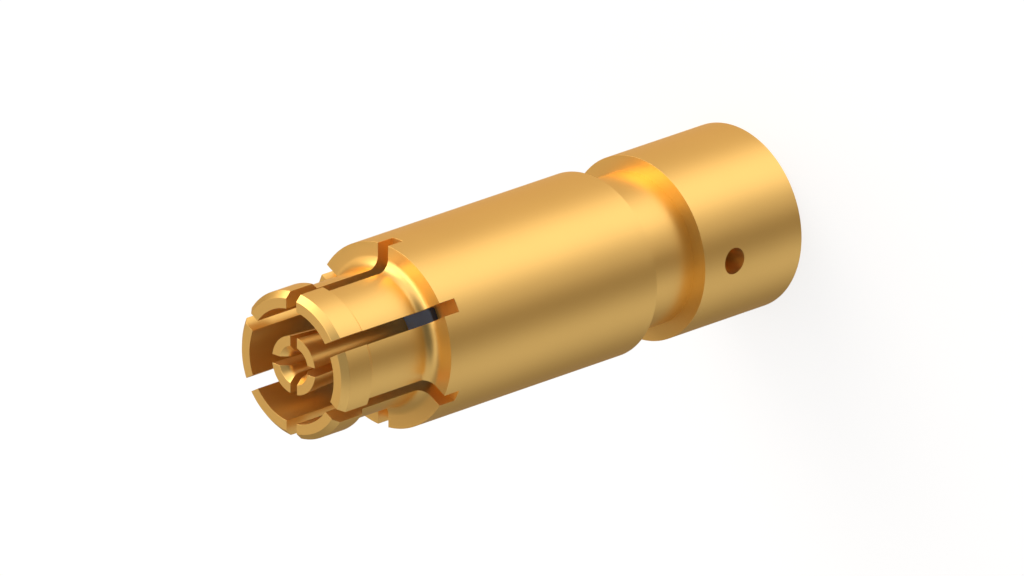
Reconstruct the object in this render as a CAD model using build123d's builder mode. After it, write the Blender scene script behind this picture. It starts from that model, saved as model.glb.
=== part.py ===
from build123d import *
from math import radians, tan
import os

# Miniature push-on coaxial cable connector, socket side. It stands on its rear
# face with its axis on Z, and its contact fingers are at the top. Sizes are in
# millimetres. A level is a height above the rear face.

# Rear sleeve: collar and neck
collar_diameter = 3.10
collar_length = 2.22
neck_diameter = 2.57
groove_width = 1.11  # the stretch of neck left in sight between collar and barrel
neck_engagement = 2.40  # the stretch of neck pressed into the barrel
neck_lead_in = 0.08  # chamfer on the neck's front end

# Rear sleeve: bores for the cable, and the hole that solder is fed through
jacket_bore_diameter = 2.25
jacket_bore_depth = 2.05
jacket_bore_lead_in = 0.10
dielectric_bore_diameter = 1.75
solder_hole_diameter = 0.445
solder_hole_height = 1.545  # above the rear face
solder_hole_angle = 0.0  # about Z, from X

# Front body: barrel and shoulder
barrel_diameter = 3.10
barrel_length = 4.67
shoulder_fillet = 0.20
neck_clearance = 0.004  # on the radius, round the neck

# Front body: collet with a raised lip round its tip
collet_length = 2.06
collet_diameter = 2.26
collet_bore_diameter = 1.916
lip_diameter = 2.46
lip_length = 0.59  # from the tip to the back edge of the lip's land
lip_chamfer = 0.10
lip_back_angle = 45.0  # of the slope behind the land, from the axis

# Front body: saw slots that split the collet into fingers
slot_count = 6
slot_width = 0.23
slot_depth = 2.39  # from the tip, past the shoulder and into the barrel
slot_angle = 30.0  # of the first slot about Z, from X

# Insulator bead
bead_diameter = 2.016
bead_recess = 2.28  # from the tip of the collet to the bead's front face
bead_clearance = 0.004  # on the radius, round the bead

# Centre contact: tapered socket split into tines
contact_recess = 0.05  # from the tip of the collet to the tip of the contact
socket_length = 1.55
socket_tip_diameter = 0.98
socket_root_diameter = 0.80
pin_bore_diameter = 0.41
pin_bore_depth = 1.50
pin_mouth_diameter = 0.65
pin_mouth_angle = 90.0  # included angle of the countersink
pin_mouth_blend = 0.15  # radius between the countersink and the bore
tine_count = 4
tine_slot_width = 0.15
tine_slot_depth = 1.35
tine_slot_angle = 0.0  # of the first tine slot about Z, from X

# Centre contact: stem, the ring that the bead is moulded round, and solder cup
stem_diameter = 0.728
ring_diameter = 1.04
ring_length = 0.40
cup_reach = 1.45  # from the bead's rear face to the end of the cup
cup_bore_diameter = 0.53
cup_bore_depth = 1.10
cup_vent_diameter = 0.20
cup_vent_setback = 0.85  # from the end of the cup
cup_vent_angle = 0.0  # about Z, from X

# How far a cutting tool runs past the surface that it cuts
cutter_overrun = 0.50

# Levels of the two turned shells
barrel_level = collar_length + groove_width
shoulder_level = barrel_level + barrel_length
tip_level = shoulder_level + collet_length
lip_back_level = tip_level - lip_length
slot_floor_level = tip_level - slot_depth

# The bead is held between the neck's end and a step in the body's bore
neck_end_level = barrel_level + neck_engagement
bead_front_level = tip_level - bead_recess
ring_level = (neck_end_level + bead_front_level - ring_length) / 2

# Levels of the centre contact
contact_tip_level = tip_level - contact_recess
socket_root_level = contact_tip_level - socket_length
pin_bore_floor_level = contact_tip_level - pin_bore_depth
cup_end_level = neck_end_level - cup_reach
cup_floor_level = cup_end_level + cup_bore_depth


def radial_plane(level, angle):
    """A plane through the axis at a level, facing outwards at an angle about Z."""
    outwards = Vector(1, 0, 0).rotate(Axis.Z, angle)
    return Plane(origin=(0, 0, level), x_dir=(0, 0, 1), z_dir=outwards)


# Front body: turned from bar in one piece, then slotted from the front by a saw
neck_socket_radius = neck_diameter / 2 + neck_clearance
bead_bore_radius = bead_diameter / 2 + bead_clearance
lip_step = (lip_diameter - collet_diameter) / 2
lip_back_run = lip_step / tan(radians(lip_back_angle))

with BuildPart() as front_body:
    with BuildSketch(Plane.XZ):
        with BuildLine():
            Polyline(
                (collet_bore_diameter / 2, tip_level),
                (lip_diameter / 2 - lip_chamfer, tip_level),
                (lip_diameter / 2, tip_level - lip_chamfer),
                (lip_diameter / 2, lip_back_level),
                (collet_diameter / 2, lip_back_level - lip_back_run),
                (collet_diameter / 2, shoulder_level),
                (barrel_diameter / 2, shoulder_level),
                (barrel_diameter / 2, barrel_level),
                (neck_socket_radius, barrel_level),
                (neck_socket_radius, neck_end_level),
                (bead_bore_radius, neck_end_level),
                (bead_bore_radius, bead_front_level),
                (collet_bore_diameter / 2, bead_front_level),
                close=True,
            )
        make_face()
        shoulder_corner = vertices().sort_by_distance((collet_diameter / 2, shoulder_level))[0]
        fillet(shoulder_corner, radius=shoulder_fillet)
    revolve(axis=Axis.Z)

    with BuildSketch(Plane.XY.offset(slot_floor_level)):
        with PolarLocations(0, slot_count, start_angle=slot_angle):
            Rectangle(
                barrel_diameter / 2 + cutter_overrun,
                slot_width,
                align=(Align.MIN, Align.CENTER),
            )
    extrude(amount=slot_depth + cutter_overrun, mode=Mode.SUBTRACT)


# Rear sleeve: turned in one piece, with the cable's bores in line
with BuildPart() as rear_sleeve:
    with BuildSketch(Plane.XZ):
        with BuildLine():
            Polyline(
                (jacket_bore_diameter / 2 + jacket_bore_lead_in, 0),
                (collar_diameter / 2, 0),
                (collar_diameter / 2, collar_length),
                (neck_diameter / 2, collar_length),
                (neck_diameter / 2, neck_end_level - neck_lead_in),
                (neck_diameter / 2 - neck_lead_in, neck_end_level),
                (dielectric_bore_diameter / 2, neck_end_level),
                (dielectric_bore_diameter / 2, jacket_bore_depth),
                (jacket_bore_diameter / 2, jacket_bore_depth),
                (jacket_bore_diameter / 2, jacket_bore_lead_in),
                close=True,
            )
        make_face()
    revolve(axis=Axis.Z)

    with BuildSketch(radial_plane(solder_hole_height, solder_hole_angle)):
        Circle(solder_hole_diameter / 2)
    extrude(amount=collar_diameter / 2 + cutter_overrun, mode=Mode.SUBTRACT)


# Insulator bead: moulded round the contact's stem and its ring
with BuildPart() as insulator_bead:
    with BuildSketch(Plane.XY.offset(neck_end_level)):
        Circle(bead_diameter / 2)
        Circle(stem_diameter / 2, mode=Mode.SUBTRACT)
    extrude(amount=bead_front_level - neck_end_level)

    with BuildSketch(Plane.XY.offset(ring_level)):
        Circle(ring_diameter / 2)
    extrude(amount=ring_length, mode=Mode.SUBTRACT)


# Centre contact: turned in one piece, drilled from both ends, tines sawn across
pin_mouth_run = (pin_mouth_diameter - pin_bore_diameter) / 2 / tan(radians(pin_mouth_angle / 2))
pin_mouth_level = contact_tip_level - pin_mouth_run

with BuildPart() as centre_contact:
    with BuildSketch(Plane.XZ):
        with BuildLine():
            Polyline(
                (0, pin_bore_floor_level),
                (pin_bore_diameter / 2, pin_bore_floor_level),
                (pin_bore_diameter / 2, pin_mouth_level),
                (pin_mouth_diameter / 2, contact_tip_level),
                (socket_tip_diameter / 2, contact_tip_level),
                (socket_root_diameter / 2, socket_root_level),
                (stem_diameter / 2, socket_root_level),
                (stem_diameter / 2, ring_level + ring_length),
                (ring_diameter / 2, ring_level + ring_length),
                (ring_diameter / 2, ring_level),
                (stem_diameter / 2, ring_level),
                (stem_diameter / 2, cup_end_level),
                (cup_bore_diameter / 2, cup_end_level),
                (cup_bore_diameter / 2, cup_floor_level),
                (0, cup_floor_level),
                close=True,
            )
        make_face()
        mouth_corner = vertices().sort_by_distance((pin_bore_diameter / 2, pin_mouth_level))[0]
        fillet(mouth_corner, radius=pin_mouth_blend)
    revolve(axis=Axis.Z)

    with BuildSketch(Plane.XY.offset(contact_tip_level - tine_slot_depth)):
        with PolarLocations(0, tine_count, start_angle=tine_slot_angle):
            Rectangle(
                socket_tip_diameter / 2 + cutter_overrun,
                tine_slot_width,
                align=(Align.MIN, Align.CENTER),
            )
    extrude(amount=tine_slot_depth + cutter_overrun, mode=Mode.SUBTRACT)

    with BuildSketch(radial_plane(cup_end_level + cup_vent_setback, cup_vent_angle)):
        Circle(cup_vent_diameter / 2)
    extrude(amount=stem_diameter / 2 + cutter_overrun, mode=Mode.SUBTRACT)


os.makedirs("parts", exist_ok=True)

front_body.part.label = "front_body"
export_step(front_body.part, "parts/front_body.step")

rear_sleeve.part.label = "rear_sleeve"
export_step(rear_sleeve.part, "parts/rear_sleeve.step")

insulator_bead.part.label = "insulator_bead"
export_step(insulator_bead.part, "parts/insulator_bead.step")

centre_contact.part.label = "centre_contact"
export_step(centre_contact.part, "parts/centre_contact.step")
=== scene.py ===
from math import asin, cos, pi, radians, sin, tan

import bmesh
import bpy
from mathutils import Matrix, Vector


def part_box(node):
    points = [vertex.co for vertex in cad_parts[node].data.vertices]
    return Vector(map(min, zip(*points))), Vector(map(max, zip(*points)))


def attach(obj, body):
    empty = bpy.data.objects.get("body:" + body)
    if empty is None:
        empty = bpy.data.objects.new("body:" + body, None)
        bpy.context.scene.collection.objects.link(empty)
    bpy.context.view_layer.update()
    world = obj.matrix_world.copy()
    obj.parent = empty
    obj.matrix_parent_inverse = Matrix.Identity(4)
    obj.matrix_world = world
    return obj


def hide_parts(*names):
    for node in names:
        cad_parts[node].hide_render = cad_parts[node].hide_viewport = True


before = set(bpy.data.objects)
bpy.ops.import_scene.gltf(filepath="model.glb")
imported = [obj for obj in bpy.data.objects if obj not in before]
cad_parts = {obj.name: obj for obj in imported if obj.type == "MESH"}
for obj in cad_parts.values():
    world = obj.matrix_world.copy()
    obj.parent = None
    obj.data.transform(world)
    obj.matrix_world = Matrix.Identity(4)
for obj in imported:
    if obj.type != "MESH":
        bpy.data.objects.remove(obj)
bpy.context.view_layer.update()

# Miniature push-on coaxial cable connector, socket side. It stands on its rear face, with its
# axis on Z and its contact fingers at the top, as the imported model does. Lengths are in metres.
mm = 0.001


# Centre contact
# The socket that takes the mating pin, turned in one piece from springy copper alloy and gold
# plated. It is drilled from both ends. Two saw cuts across its tapered front leave four tines,
# and at the rear it ends in a solder cup with a vent for the cable's inner conductor.
contact_low, contact_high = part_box("centre_contact")
bead_low, bead_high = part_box("insulator_bead")

tine_tip = contact_high.z
tine_tip_radius = 0.490 * mm
tine_root = tine_tip - 1.55 * mm
tine_root_radius = 0.400 * mm
pin_bore_radius = 0.205 * mm
pin_bore_floor = tine_tip - 1.50 * mm
pin_mouth_radius = 0.325 * mm
pin_mouth_blend = 0.15 * mm
mouth_steps = 5
stem_radius = 0.364 * mm
ring_radius = contact_high.x
ring_length = 0.40 * mm
ring_rear = (bead_low.z + bead_high.z - ring_length) / 2
ring_front = ring_rear + ring_length
cup_end = contact_low.z
cup_bore_radius = 0.265 * mm
cup_floor = cup_end + 1.10 * mm

tine_count = 4
tine_gap = 0.15 * mm
tine_cut_floor = tine_tip - 1.35 * mm
tine_columns = 20
first_tine = radians(45)
vent_radius = 0.10 * mm
vent_level = cup_end + 0.85 * mm
drill_overrun = 0.50 * mm
drill_sides = 48

contact_edge_break = 0.0015 * mm
sharp_corner = radians(18)
broken_corner = radians(25)
weld_distance = 0.0004 * mm

mouth_corner = tine_tip - (pin_mouth_radius - pin_bore_radius)
mouth_curve = [
    (
        pin_bore_radius + pin_mouth_blend * (1 - cos(pi / 4 * i / mouth_steps)),
        mouth_corner - pin_mouth_blend * (tan(pi / 8) - sin(pi / 4 * i / mouth_steps)),
    )
    for i in range(mouth_steps + 1)
]
contact_outline = [
    (0, pin_bore_floor),
    (pin_bore_radius, pin_bore_floor),
    *mouth_curve,
    (pin_mouth_radius, tine_tip),
    (tine_tip_radius, tine_tip),
    (tine_root_radius, tine_root),
    (stem_radius, tine_root),
    (stem_radius, ring_front),
    (ring_radius, ring_front),
    (ring_radius, ring_rear),
    (stem_radius, ring_rear),
    (stem_radius, cup_end),
    (cup_bore_radius, cup_end),
    (cup_bore_radius, cup_floor),
    (0, cup_floor),
]


def parted(outline, level):
    """The stretches of a closed outline above and below a level, both with their ends on it."""
    points = []
    for (r, z), (next_r, next_z) in zip(outline, outline[1:] + outline[:1]):
        points.append((r, z))
        if (z - level) * (next_z - level) < 0:
            share = (level - z) / (next_z - z)
            points.append((r + share * (next_r - r), level))
    climbs = [i for i, point in enumerate(points) if point[1] == level and points[i - 1][1] < level]
    points = points[climbs[0]:] + points[:climbs[0]]
    descent = next(i for i, point in enumerate(points) if i and point[1] == level)
    return points[:descent + 1], points[descent:] + points[:1]


def sawn_sector(name, outline, cut_floor, gap, count, columns):
    """One finger between two saw cuts, centred on X, with its share of the uncut body below."""
    above, below = parted(outline, cut_floor)
    gap_columns = 3
    shape = bmesh.new()

    def row(point, whole):
        r, z = point
        if r == 0:
            return [shape.verts.new((0, 0, z))] * (columns + 1 + whole * 2 * gap_columns)
        saw = asin(gap / 2 / r)
        reach = pi / count - saw
        angles = [reach * (2 * j / columns - 1) for j in range(columns + 1)]
        if whole:
            side = [reach + saw * (j + 1) / gap_columns for j in range(gap_columns)]
            angles = [-angle for angle in reversed(side)] + angles + side
        return [shape.verts.new((r * cos(angle), r * sin(angle), z)) for angle in angles]

    def skin(rows):
        for lower, upper in zip(rows, rows[1:]):
            for j in range(len(lower) - 1):
                corners = dict.fromkeys((lower[j], lower[j + 1], upper[j + 1], upper[j]))
                if len(corners) > 2:
                    shape.faces.new(corners)

    whole_rows = [row(point, True) for point in below]
    outer, inner = whole_rows[0], whole_rows[-1]
    middle = slice(gap_columns, gap_columns + columns + 1)
    finger_rows = [inner[middle]] + [row(point, False) for point in above[1:-1]] + [outer[middle]]
    skin(whole_rows)
    skin(finger_rows)
    for end in (0, -1):
        shape.faces.new([finger_row[end] for finger_row in finger_rows])
    for near in (slice(0, gap_columns + 1), slice(gap_columns + columns, None)):
        shape.faces.new(outer[near] + inner[near][::-1])
    bmesh.ops.recalc_face_normals(shape, faces=shape.faces)
    mesh = bpy.data.meshes.new(name)
    shape.to_mesh(mesh)
    shape.free()
    piece = bpy.data.objects.new(name, mesh)
    bpy.context.scene.collection.objects.link(piece)
    return piece


def new_tree(name, inputs):
    """An empty Geometry Nodes tree with named inputs, and the nodes that it starts and ends in."""
    tree = bpy.data.node_groups.new(name, "GeometryNodeTree")
    tree.interface.new_socket("Geometry", in_out="INPUT", socket_type="NodeSocketGeometry")
    for label, kind in inputs.items():
        tree.interface.new_socket(label, in_out="INPUT", socket_type="NodeSocket" + kind)
    tree.interface.new_socket("Geometry", in_out="OUTPUT", socket_type="NodeSocketGeometry")
    return tree, tree.nodes.new("NodeGroupInput").outputs, tree.nodes.new("NodeGroupOutput").inputs


def add(tree, kind, wires=None, **settings):
    """A new node with its settings, and its inputs either wired to outputs or set to values."""
    node = tree.nodes.new(kind)
    for setting, value in settings.items():
        setattr(node, setting, value)
    for label, source in (wires or {}).items():
        if isinstance(source, bpy.types.NodeSocket):
            tree.links.new(source, node.inputs[label])
        else:
            node.inputs[label].default_value = source
    return node.outputs


def end_in_finish(tree, geometry, finish, result):
    """The last two nodes of every tree: real geometry, then the piece's material on all of it."""
    real = add(tree, "GeometryNodeRealizeInstances", {"Geometry": geometry})
    done = add(tree, "GeometryNodeSetMaterial", {"Geometry": real[0], "Material": finish})
    tree.links.new(done[0], result[0])


def ring_of_sectors():
    """Repeats one sector round Z, so that the sectors close into a whole slotted piece."""
    inputs = {"Count": "Int", "First Angle": "Float", "Finish": "Material"}
    tree, given, result = new_tree("ring_of_sectors", inputs)
    points = add(tree, "GeometryNodePoints", {"Count": given["Count"]})
    index = add(tree, "GeometryNodeInputIndex")
    step = add(tree, "ShaderNodeMath", {0: 2 * pi, 1: given["Count"]}, operation="DIVIDE")
    angle_wires = {0: index[0], 1: step[0], 2: given["First Angle"]}
    angle = add(tree, "ShaderNodeMath", angle_wires, operation="MULTIPLY_ADD")
    turn = add(tree, "FunctionNodeAxisAngleToRotation", {"Axis": (0, 0, 1), "Angle": angle[0]})
    wires = {"Points": points[0], "Instance": given["Geometry"], "Rotation": turn[0]}
    ring = add(tree, "GeometryNodeInstanceOnPoints", wires)
    end_in_finish(tree, ring[0], given["Finish"], result)
    return tree


def cross_drilled():
    """Drills one round hole through a wall of a hollow piece, from its axis out along X."""
    inputs = {"Radius": "Float", "Level": "Float", "Reach": "Float", "Finish": "Material"}
    tree, given, result = new_tree("cross_drilled", inputs)
    drill_size = {"Vertices": drill_sides, "Radius": given["Radius"], "Depth": given["Reach"]}
    drill = add(tree, "GeometryNodeMeshCylinder", drill_size)
    half = add(tree, "ShaderNodeMath", {0: given["Reach"], 1: 0.5}, operation="MULTIPLY")
    place = add(tree, "ShaderNodeCombineXYZ", {"X": half[0], "Z": given["Level"]})
    laid = {"Geometry": drill[0], "Translation": place[0], "Rotation": (0, pi / 2, 0)}
    laid_drill = add(tree, "GeometryNodeTransform", laid)
    cut = tree.nodes.new("GeometryNodeMeshBoolean")
    cut.operation = "DIFFERENCE"
    cut.solver = "EXACT"
    tree.links.new(given["Geometry"], cut.inputs["Mesh 1"])
    tree.links.new(laid_drill[0], cut.inputs["Mesh 2"])
    end_in_finish(tree, cut.outputs[0], given["Finish"], result)
    return tree


def run_tree(piece, tree, values):
    """Puts a tree on a piece with its named inputs set."""
    modifier = piece.modifiers.new(tree.name, "NODES")
    modifier.node_group = tree
    for socket in tree.interface.items_tree:
        if socket.in_out == "INPUT" and socket.name in values:
            modifier[socket.identifier] = values[socket.name]


def break_edges(piece, width):
    """Takes the sharpness off every corner, as tumbling does before plating."""
    edges = piece.modifiers.new("edge_break", "BEVEL")
    edges.width = width
    edges.segments = 1
    edges.limit_method = "ANGLE"
    edges.angle_limit = broken_corner


def make_plain(piece):
    """Turns what a piece's modifiers make into its own closed mesh, smooth except at corners."""
    evaluated = piece.evaluated_get(bpy.context.evaluated_depsgraph_get())
    mesh = bpy.data.meshes.new_from_object(evaluated)
    piece.modifiers.clear()
    piece.data = mesh
    shape = bmesh.new()
    shape.from_mesh(mesh)
    bmesh.ops.remove_doubles(shape, verts=shape.verts, dist=weld_distance)
    bmesh.ops.recalc_face_normals(shape, faces=shape.faces)
    for face in shape.faces:
        face.smooth = True
    for edge in shape.edges:
        edge.smooth = edge.is_manifold and edge.calc_face_angle() < sharp_corner
    shape.to_mesh(mesh)
    shape.free()


def drifting_tone(tree, noise, spread, first, second):
    """A colour that drifts between two tones as a noise does, over a spread each side of half."""
    tint = add(tree, "ShaderNodeValToRGB", {"Fac": noise})
    low, high = tint[0].node.color_ramp.elements
    low.position = 0.5 - spread
    low.color = (*first, 1)
    high.position = 0.5 + spread
    high.color = (*second, 1)
    return tint[0]


def gold_plate(name, ring_scale):
    """Satin gold plating over turned metal: faint tool rings, a fine grain and a slow drift of tone."""
    material = bpy.data.materials.new(name)
    material.use_nodes = True
    tree = material.node_tree
    shader = tree.nodes["Principled BSDF"]
    place = add(tree, "ShaderNodeTexCoord")["Object"]
    parts = add(tree, "ShaderNodeSeparateXYZ", {0: place})
    flat = add(tree, "ShaderNodeCombineXYZ", {"X": parts["X"], "Y": parts["Y"]})
    radius = add(tree, "ShaderNodeVectorMath", {0: flat[0]}, operation="LENGTH")
    along = add(tree, "ShaderNodeMath", {0: radius["Value"], 1: parts["Z"]}, operation="ADD")
    ring_wires = {"W": along[0], "Scale": ring_scale, "Detail": 2.0}
    rings = add(tree, "ShaderNodeTexNoise", ring_wires, noise_dimensions="1D")
    grain_wires = {"Vector": place, "Scale": gold_grain_scale, "Detail": 3.0}
    grain = add(tree, "ShaderNodeTexNoise", grain_wires)
    drift_wires = {"Vector": place, "Scale": gold_drift_scale, "Detail": 2.0}
    drift = add(tree, "ShaderNodeTexNoise", drift_wires)
    tint = drifting_tone(tree, drift[0], 0.2, [c * gold_drift_shade for c in gold_tone], gold_tone)
    tree.links.new(tint, shader.inputs["Base Color"])

    polish_wires = {"Value": rings[0], "To Min": gold_roughness[0], "To Max": gold_roughness[1]}
    polish = add(tree, "ShaderNodeMapRange", polish_wires)
    tree.links.new(polish[0], shader.inputs["Roughness"])

    relief_wires = {0: rings[0], 1: gold_ring_share, 2: grain[0]}
    relief = add(tree, "ShaderNodeMath", relief_wires, operation="MULTIPLY_ADD")
    bump_wires = {"Height": relief[0], "Strength": gold_bump, "Distance": gold_relief}
    bump = add(tree, "ShaderNodeBump", bump_wires)
    tree.links.new(bump[0], shader.inputs["Normal"])
    shader.inputs["Metallic"].default_value = gold_metallic
    shader.inputs["Specular Tint"].default_value = (*gold_sheen, 1)
    return material


gold_tone = (0.98, 0.625, 0.188)
gold_drift_shade = 0.975
gold_drift_scale = 900.0
gold_grain_scale = 60000.0
gold_ring_share = 0.6
gold_relief = 0.002 * mm
gold_bump = 0.03
gold_roughness = (0.31, 0.36)
gold_metallic = 0.86
gold_sheen = (1.0, 0.85, 0.6)
contact_gold = gold_plate("contact_gold", ring_scale=40000.0)
sector_tree = ring_of_sectors()
drill_tree = cross_drilled()

contact = sawn_sector(
    "contact_turned", contact_outline, tine_cut_floor, tine_gap, tine_count, tine_columns
)
break_edges(contact, contact_edge_break)
contact_ring = {"Count": tine_count, "First Angle": first_tine, "Finish": contact_gold}
run_tree(contact, sector_tree, contact_ring)
make_plain(contact)
contact_vent = {
    "Radius": vent_radius,
    "Level": vent_level,
    "Reach": stem_radius + drill_overrun,
    "Finish": contact_gold,
}
run_tree(contact, drill_tree, contact_vent)
make_plain(contact)
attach(contact, "root")
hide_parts("centre_contact")


# Insulator bead
# A navy-black engineering plastic, moulded round the contact's stem and ring so that the contact
# cannot be pushed out. It is pressed into the front body from the rear, up to a step in the bore.
bead_radius = bead_high.x
bead_edge_break = 0.012 * mm
bead_tones = ((0.100, 0.157, 0.275), (0.115, 0.179, 0.305))
bead_cloud_scale = 4000.0
bead_peel_scale = 25000.0
bead_peel_depth = 0.003 * mm
bead_bump = 0.2
bead_roughness = 0.55
bead_gloss = 0.3
# painted shade: the share of the colour left on the bead's sides, which lie in shade
bead_side_painted_shade = 0.4
turned_segments = 240
sweep_radius = 1.0 * mm

bead_outline = [
    (stem_radius, bead_low.z),
    (bead_radius, bead_low.z),
    (bead_radius, bead_high.z),
    (stem_radius, bead_high.z),
    (stem_radius, ring_front),
    (ring_radius, ring_front),
    (ring_radius, ring_rear),
    (stem_radius, ring_rear),
]


def outer_corners(outline):
    """One for each corner of a closed outline that points out of the metal, zero for the others."""
    before = outline[-1:] + outline[:-1]
    after = outline[1:] + outline[:1]
    area = sum(b[0] * p[1] - b[1] * p[0] for b, p in zip(before, outline))
    bends = [
        (p[0] - b[0]) * (a[1] - p[1]) - (p[1] - b[1]) * (a[0] - p[0])
        for b, p, a in zip(before, outline, after)
    ]
    return [float(bend * area > 0) for bend in bends]


def outline_object(name, outline):
    """A closed outline drawn in the plane of X and Z, which a tree turns about Z."""
    loop = [(i, (i + 1) % len(outline)) for i in range(len(outline))]
    mesh = bpy.data.meshes.new(name)
    mesh.from_pydata([(r, 0, z) for r, z in outline], loop, [])
    outer = mesh.attributes.new("outer", "FLOAT", "POINT")
    outer.data.foreach_set("value", outer_corners(outline))
    piece = bpy.data.objects.new(name, mesh)
    bpy.context.scene.collection.objects.link(piece)
    return piece


def turned():
    """Sweeps an outline round Z as a lathe does, with each outer corner broken."""
    inputs = {"Segments": "Int", "Sweep Radius": "Float", "Edge Break": "Float", "Finish": "Material"}
    tree, given, result = new_tree("turned", inputs)
    inwards = add(tree, "ShaderNodeMath", {0: given["Sweep Radius"], 1: -1.0}, operation="MULTIPLY")
    shift = add(tree, "ShaderNodeCombineXYZ", {"X": inwards[0]})
    laid = {"Geometry": given["Geometry"], "Translation": shift[0]}
    shifted = add(tree, "GeometryNodeTransform", laid)
    stood = {"Geometry": shifted[0], "Rotation": (pi / 2, 0, 0)}
    profile = add(tree, "GeometryNodeTransform", stood)
    curve = add(tree, "GeometryNodeMeshToCurve", {"Mesh": profile[0]})
    outer = add(tree, "GeometryNodeInputNamedAttribute", {"Name": "outer"}, data_type="FLOAT")
    width = add(tree, "ShaderNodeMath", {0: outer[0], 1: given["Edge Break"]}, operation="MULTIPLY")
    corners = {"Curve": curve[0], "Radius": width[0], "Limit Radius": True, "Count": 1}
    broken = add(tree, "GeometryNodeFilletCurve", corners, mode="POLY")
    path = {"Resolution": given["Segments"], "Radius": given["Sweep Radius"]}
    circle = add(tree, "GeometryNodeCurvePrimitiveCircle", path)
    sweep = {"Curve": circle[0], "Profile Curve": broken[0]}
    solid = add(tree, "GeometryNodeCurveToMesh", sweep)
    end_in_finish(tree, solid[0], given["Finish"], result)
    return tree


def bead_plastic(name):
    """Matt navy plastic with a fine orange-peel, and painted shade that darkens its sides against its
    flat faces.
    """
    material = bpy.data.materials.new(name)
    material.use_nodes = True
    tree = material.node_tree
    shader = tree.nodes["Principled BSDF"]
    coordinates = add(tree, "ShaderNodeTexCoord")
    place = coordinates["Object"]
    cloud_wires = {"Vector": place, "Scale": bead_cloud_scale, "Detail": 3.0}
    cloud = add(tree, "ShaderNodeTexNoise", cloud_wires)
    tint = drifting_tone(tree, cloud[0], 0.15, *bead_tones)

    # Painted shade: the colour darkens where the surface faces sideways rather than along the axis.
    facing = add(tree, "ShaderNodeSeparateXYZ", {0: coordinates["Normal"]})
    flatness = add(tree, "ShaderNodeMath", {0: facing["Z"]}, operation="ABSOLUTE")
    shade_wires = {"Value": flatness[0], "To Min": bead_side_painted_shade, "To Max": 1.0}
    shade = add(tree, "ShaderNodeMapRange", shade_wires)
    shaded_wires = {0: tint, "Scale": shade[0]}
    shaded = add(tree, "ShaderNodeVectorMath", shaded_wires, operation="SCALE")
    tree.links.new(shaded[0], shader.inputs["Base Color"])

    peel_wires = {"Vector": place, "Scale": bead_peel_scale, "Detail": 2.0}
    peel = add(tree, "ShaderNodeTexNoise", peel_wires)
    bump_wires = {"Height": peel[0], "Strength": bead_bump, "Distance": bead_peel_depth}
    bump = add(tree, "ShaderNodeBump", bump_wires)
    tree.links.new(bump[0], shader.inputs["Normal"])
    shader.inputs["Roughness"].default_value = bead_roughness
    shader.inputs["Specular IOR Level"].default_value = bead_gloss
    return material


turned_tree = turned()
bead_finish = bead_plastic("bead_plastic")
bead = outline_object("bead_moulded", bead_outline)
bead_turning = {
    "Segments": turned_segments,
    "Sweep Radius": sweep_radius,
    "Edge Break": bead_edge_break,
    "Finish": bead_finish,
}
run_tree(bead, turned_tree, bead_turning)
make_plain(bead)
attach(bead, "root")
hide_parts("insulator_bead")


# Front body
# The barrel and the collet, turned in one piece from springy copper alloy and gold plated. Three
# saw cuts across its front, through the lip and the shoulder, leave six fingers that spring
# inwards as the mating shroud slides over the raised lip and snaps behind it.
body_low, body_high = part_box("front_body")
sleeve_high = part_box("rear_sleeve")[1]

barrel_radius = body_high.x
barrel_rear = body_low.z
collet_tip = body_high.z
shoulder = collet_tip - 2.06 * mm
shoulder_round = 0.20 * mm
shoulder_steps = 12
collet_radius = 1.130 * mm
collet_bore_radius = 0.958 * mm
lip_radius = 1.230 * mm
lip_chamfer = 0.10 * mm
lip_back = collet_tip - 0.59 * mm
bead_bore_radius = bead_radius + 0.004 * mm
neck_socket_radius = 1.289 * mm

finger_count = 6
finger_gap = 0.23 * mm
finger_cut_floor = collet_tip - 2.39 * mm
finger_columns = 40
first_finger = radians(60)
body_edge_break = 0.0015 * mm

shoulder_curve = [
    (
        collet_radius + shoulder_round * (1 - cos(pi / 2 * i / shoulder_steps)),
        shoulder + shoulder_round * (1 - sin(pi / 2 * i / shoulder_steps)),
    )
    for i in range(shoulder_steps + 1)
]
body_outline = [
    (bead_bore_radius, bead_high.z),
    (collet_bore_radius, bead_high.z),
    (collet_bore_radius, collet_tip),
    (lip_radius - lip_chamfer, collet_tip),
    (lip_radius, collet_tip - lip_chamfer),
    (lip_radius, lip_back),
    (collet_radius, lip_back - (lip_radius - collet_radius)),
    *shoulder_curve,
    (barrel_radius, shoulder),
    (barrel_radius, barrel_rear),
    (neck_socket_radius, barrel_rear),
    (neck_socket_radius, sleeve_high.z),
    (bead_bore_radius, sleeve_high.z),
]

shell_gold = gold_plate("shell_gold", ring_scale=30000.0)
body = sawn_sector(
    "body_slotted", body_outline, finger_cut_floor, finger_gap, finger_count, finger_columns
)
break_edges(body, body_edge_break)
body_ring = {"Count": finger_count, "First Angle": first_finger, "Finish": shell_gold}
run_tree(body, sector_tree, body_ring)
make_plain(body)
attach(body, "root")
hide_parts("front_body")


# Rear sleeve
# The collar that the cable's jacket is soldered into, turned with its neck in one piece from
# copper alloy and gold plated. The neck is pressed into the barrel and leaves a groove in sight.
# A small hole drilled through the collar's wall lets the solder in.
collar_radius = sleeve_high.x
collar_front = 2.22 * mm
neck_radius = 1.285 * mm
neck_end = sleeve_high.z
neck_lead_in = 0.08 * mm
jacket_bore_radius = 1.125 * mm
jacket_bore_floor = 2.05 * mm
jacket_lead_in = 0.10 * mm
cable_bore_radius = 0.875 * mm
solder_hole_radius = 0.2225 * mm
solder_hole_level = 1.545 * mm
sleeve_edge_break = 0.001 * mm

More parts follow.
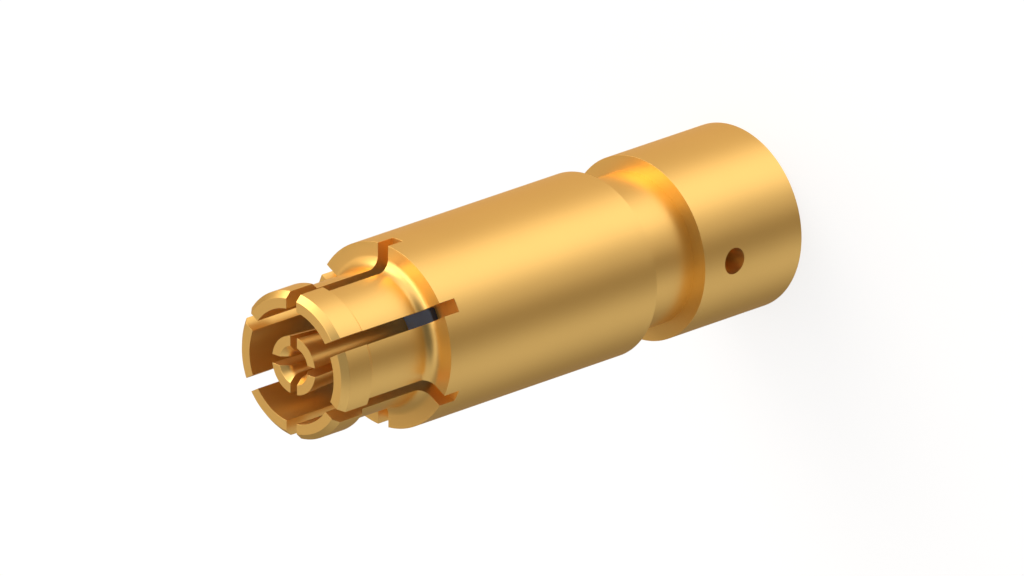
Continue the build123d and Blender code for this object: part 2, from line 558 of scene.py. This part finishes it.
sleeve_outline = [
    (jacket_bore_radius + jacket_lead_in, 0),
    (collar_radius, 0),
    (collar_radius, collar_front),
    (neck_radius, collar_front),
    (neck_radius, neck_end - neck_lead_in),
    (neck_radius - neck_lead_in, neck_end),
    (cable_bore_radius, neck_end),
    (cable_bore_radius, jacket_bore_floor),
    (jacket_bore_radius, jacket_bore_floor),
    (jacket_bore_radius, jacket_lead_in),
]

sleeve = outline_object("sleeve_turned", sleeve_outline)
sleeve_turning = {
    "Segments": turned_segments,
    "Sweep Radius": sweep_radius,
    "Edge Break": sleeve_edge_break,
    "Finish": shell_gold,
}
sleeve_hole = {
    "Radius": solder_hole_radius,
    "Level": solder_hole_level,
    "Reach": collar_radius + drill_overrun,
    "Finish": shell_gold,
}
run_tree(sleeve, turned_tree, sleeve_turning)
run_tree(sleeve, drill_tree, sleeve_hole)
make_plain(sleeve)
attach(sleeve, "root")
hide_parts("rear_sleeve")


# Camera
# The photograph has the connector lying level, with its tip towards the camera's left, and looks
# at it from 45 degrees round and 20 degrees up. Y is up in that view. The lens is long and far
# off, so that the picture is all but parallel.
round_from_axis = radians(45)
above_axis = radians(20)
frame_width = 16.48 * mm
aim_along_axis = 5.04 * mm
aim_right = -0.028 * mm
aim_up = 0.038 * mm
sensor_width = 36
lens = 880
clip_start = 10 * mm

back = Vector((
    cos(above_axis) * sin(round_from_axis),
    sin(above_axis),
    cos(above_axis) * cos(round_from_axis),
))
right = Vector((0, 1, 0)).cross(back).normalized()
up = back.cross(right)
camera = bpy.data.objects.new("camera", bpy.data.cameras.new("camera"))
bpy.context.scene.collection.objects.link(camera)
bpy.context.scene.camera = camera
camera.data.sensor_width = sensor_width
camera.data.lens = lens
camera.data.clip_start = clip_start
camera_distance = frame_width * lens / sensor_width
aim = Vector((0, 0, aim_along_axis)) + right * aim_right + up * aim_up
turn = Matrix((right, up, back)).transposed().to_4x4()
camera.matrix_world = Matrix.Translation(aim + back * camera_distance) @ turn


# Floor and background
# A plain white floor that keeps the connector's soft shadow, in front of plain white. The light
# that makes both white in the picture doesn't fall on the connector.
floor_reach = 1.2
floor_white = 0.30
white_light = 0.76
dome_level = 0.5


def plain_white(tree):
    """One where a ray comes from the camera or from metal or glass, and zero elsewhere."""
    rays = add(tree, "ShaderNodeLightPath")
    direct = {0: rays["Is Camera Ray"], 1: rays["Is Glossy Ray"]}
    seen = add(tree, "ShaderNodeMath", direct, operation="MAXIMUM")
    through = {0: seen[0], 1: rays["Is Transmission Ray"]}
    return add(tree, "ShaderNodeMath", through, operation="MAXIMUM")[0]


def floor_finish():
    """Matt white, topped up with light of its own until it shows as plain white."""
    material = bpy.data.materials.new("floor_white")
    material.use_nodes = True
    tree = material.node_tree
    tree.nodes.clear()
    matt = add(tree, "ShaderNodeBsdfDiffuse", {"Color": (*[floor_white] * 3, 1)})
    share = {0: plain_white(tree), 1: white_light}
    top_up = add(tree, "ShaderNodeMath", share, operation="MULTIPLY")
    glow = add(tree, "ShaderNodeEmission", {"Strength": top_up[0]})
    both = add(tree, "ShaderNodeAddShader", {0: matt[0], 1: glow[0]})
    add(tree, "ShaderNodeOutputMaterial", {"Surface": both[0]})
    return material


floor_mesh = bpy.data.meshes.new("floor")
sides = ((-1, -1), (1, -1), (1, 1), (-1, 1))
floor_corners = [(x * floor_reach, y * floor_reach, 0) for x, y in sides]
floor_mesh.from_pydata(floor_corners, [], [(0, 1, 2, 3)])
floor = bpy.data.objects.new("floor", floor_mesh)
bpy.context.scene.collection.objects.link(floor)
floor_mesh.materials.append(floor_finish())
floor.visible_glossy = False

world = bpy.data.worlds.new("plain_white")
bpy.context.scene.world = world
world.use_nodes = True
world_tree = world.node_tree
dome_wires = {"Value": plain_white(world_tree), "To Min": dome_level, "To Max": 1.0}
dome = add(world_tree, "ShaderNodeMapRange", dome_wires)
background = world_tree.nodes["Background"].inputs
background["Color"].default_value = (1, 1, 1, 1)
world_tree.links.new(dome[0], background["Strength"])
world.cycles.sampling_method = "NONE"


# Light tent and lamps
# What the metal mirrors: warm white cloth all round, lit more on one side than on the others,
# with two shaded panels and a bright one. Only reflections see it. Three lamps hang inside it.
tent_radius = 0.9
warm_white = (1.0, 0.92, 0.865)
blue_loss = 1.2  # how much faster blue falls than red rises where the cloth is warmer
tent_light = (
    # degrees round Z from X, brightness, warmth
    (-180, 0.58, 0.14),
    (-150, 0.31, 0.09),
    (-108, 0.24, 0.00),
    (-46, 0.72, -0.07),
    (-3, 0.208, 0.16),
    (24, 0.68, 0.00),
    (60, 1.50, -0.03),
    (78, 1.50, -0.02),
    (118, 0.63, 0.10),
    (180, 0.58, 0.14),
)
tent_panels = (
    # direction of the middle, degrees from there to the outer and the inner edge, colour
    ((0.87, 0.32, 0.37), 55, 28, (0.07, 0.083, 0.104)),
    ((-0.96, 0.14, -0.02), 34, 14, (0.30, 0.24, 0.18)),
    ((-0.62, 0.50, 0.60), 31, 12, (1.50, 1.30, 1.00)),
)
mix_first, mix_second, mix_result = 6, 7, 2  # places of a Mix node's colour sockets


def tent_cloth():
    """Lit cloth whose brightness changes softly round the connector's axis, with its panels."""
    material = bpy.data.materials.new("tent_cloth")
    material.use_nodes = True
    tree = material.node_tree
    tree.nodes.clear()
    place = add(tree, "ShaderNodeTexCoord")["Object"]
    round_axis = add(tree, "ShaderNodeTexGradient", {"Vector": place}, gradient_type="RADIAL")
    light = add(tree, "ShaderNodeValToRGB", {"Fac": round_axis["Fac"]})
    ramp = light[0].node.color_ramp
    ramp.interpolation = "EASE"
    for _ in range(len(tent_light) - 2):
        ramp.elements.new(0.5)
    for stop, (angle, level, warmth) in zip(ramp.elements, tent_light):
        stop.position = angle / 360 + 0.5
        cast = (1 + warmth, 1, 1 - blue_loss * warmth)
        stop.color = (*[level * c * w for c, w in zip(cast, warm_white)], 1)
    colour = light[0]
    for middle, outer, inner, cloth in tent_panels:
        facing = add(tree, "ShaderNodeVectorMath", {0: place, 1: middle}, operation="DOT_PRODUCT")
        share_wires = {
            "Value": facing["Value"],
            "From Min": tent_radius * cos(radians(outer)),
            "From Max": tent_radius * cos(radians(inner)),
        }
        share = add(tree, "ShaderNodeMapRange", share_wires, interpolation_type="SMOOTHSTEP")
        mixed_wires = {"Factor": share[0], mix_first: colour, mix_second: (*cloth, 1)}
        colour = add(tree, "ShaderNodeMix", mixed_wires, data_type="RGBA")[mix_result]
    glow = add(tree, "ShaderNodeEmission", {"Color": colour})
    add(tree, "ShaderNodeOutputMaterial", {"Surface": glow[0]})
    material.cycles.emission_sampling = "NONE"
    return material


tent_shape = bmesh.new()
bmesh.ops.create_uvsphere(tent_shape, u_segments=64, v_segments=32, radius=tent_radius)
tent_mesh = bpy.data.meshes.new("light_tent")
tent_shape.to_mesh(tent_mesh)
tent_shape.free()
tent = bpy.data.objects.new("light_tent", tent_mesh)
bpy.context.scene.collection.objects.link(tent)
tent_mesh.materials.append(tent_cloth())
tent.visible_camera = False
tent.visible_diffuse = False
tent.visible_shadow = False

lamp_distance = 0.45
lamp_side = 0.32


def soft_lamp(name, direction, watts):
    """A square lamp that faces the connector from a direction."""
    lamp = bpy.data.objects.new(name, bpy.data.lights.new(name, "AREA"))
    bpy.context.scene.collection.objects.link(lamp)
    lamp.data.size = lamp_side
    lamp.data.energy = watts
    lamp.data.color = warm_white
    towards = Vector(direction).normalized()
    lamp.location = Vector((0, 0, aim_along_axis)) + towards * lamp_distance
    lamp.rotation_mode = "QUATERNION"
    lamp.rotation_quaternion = towards.to_track_quat("Z", "Y")
    lamp.visible_camera = False


soft_lamp("key_lamp", (-0.55, 0.70, 0.42), watts=0.65)
soft_lamp("top_lamp", (-0.33, 0.13, 0.93), watts=0.65)
soft_lamp("front_lamp", (0.35, -0.10, 0.93), watts=0.09)

bpy.context.scene.view_settings.view_transform = "Standard"
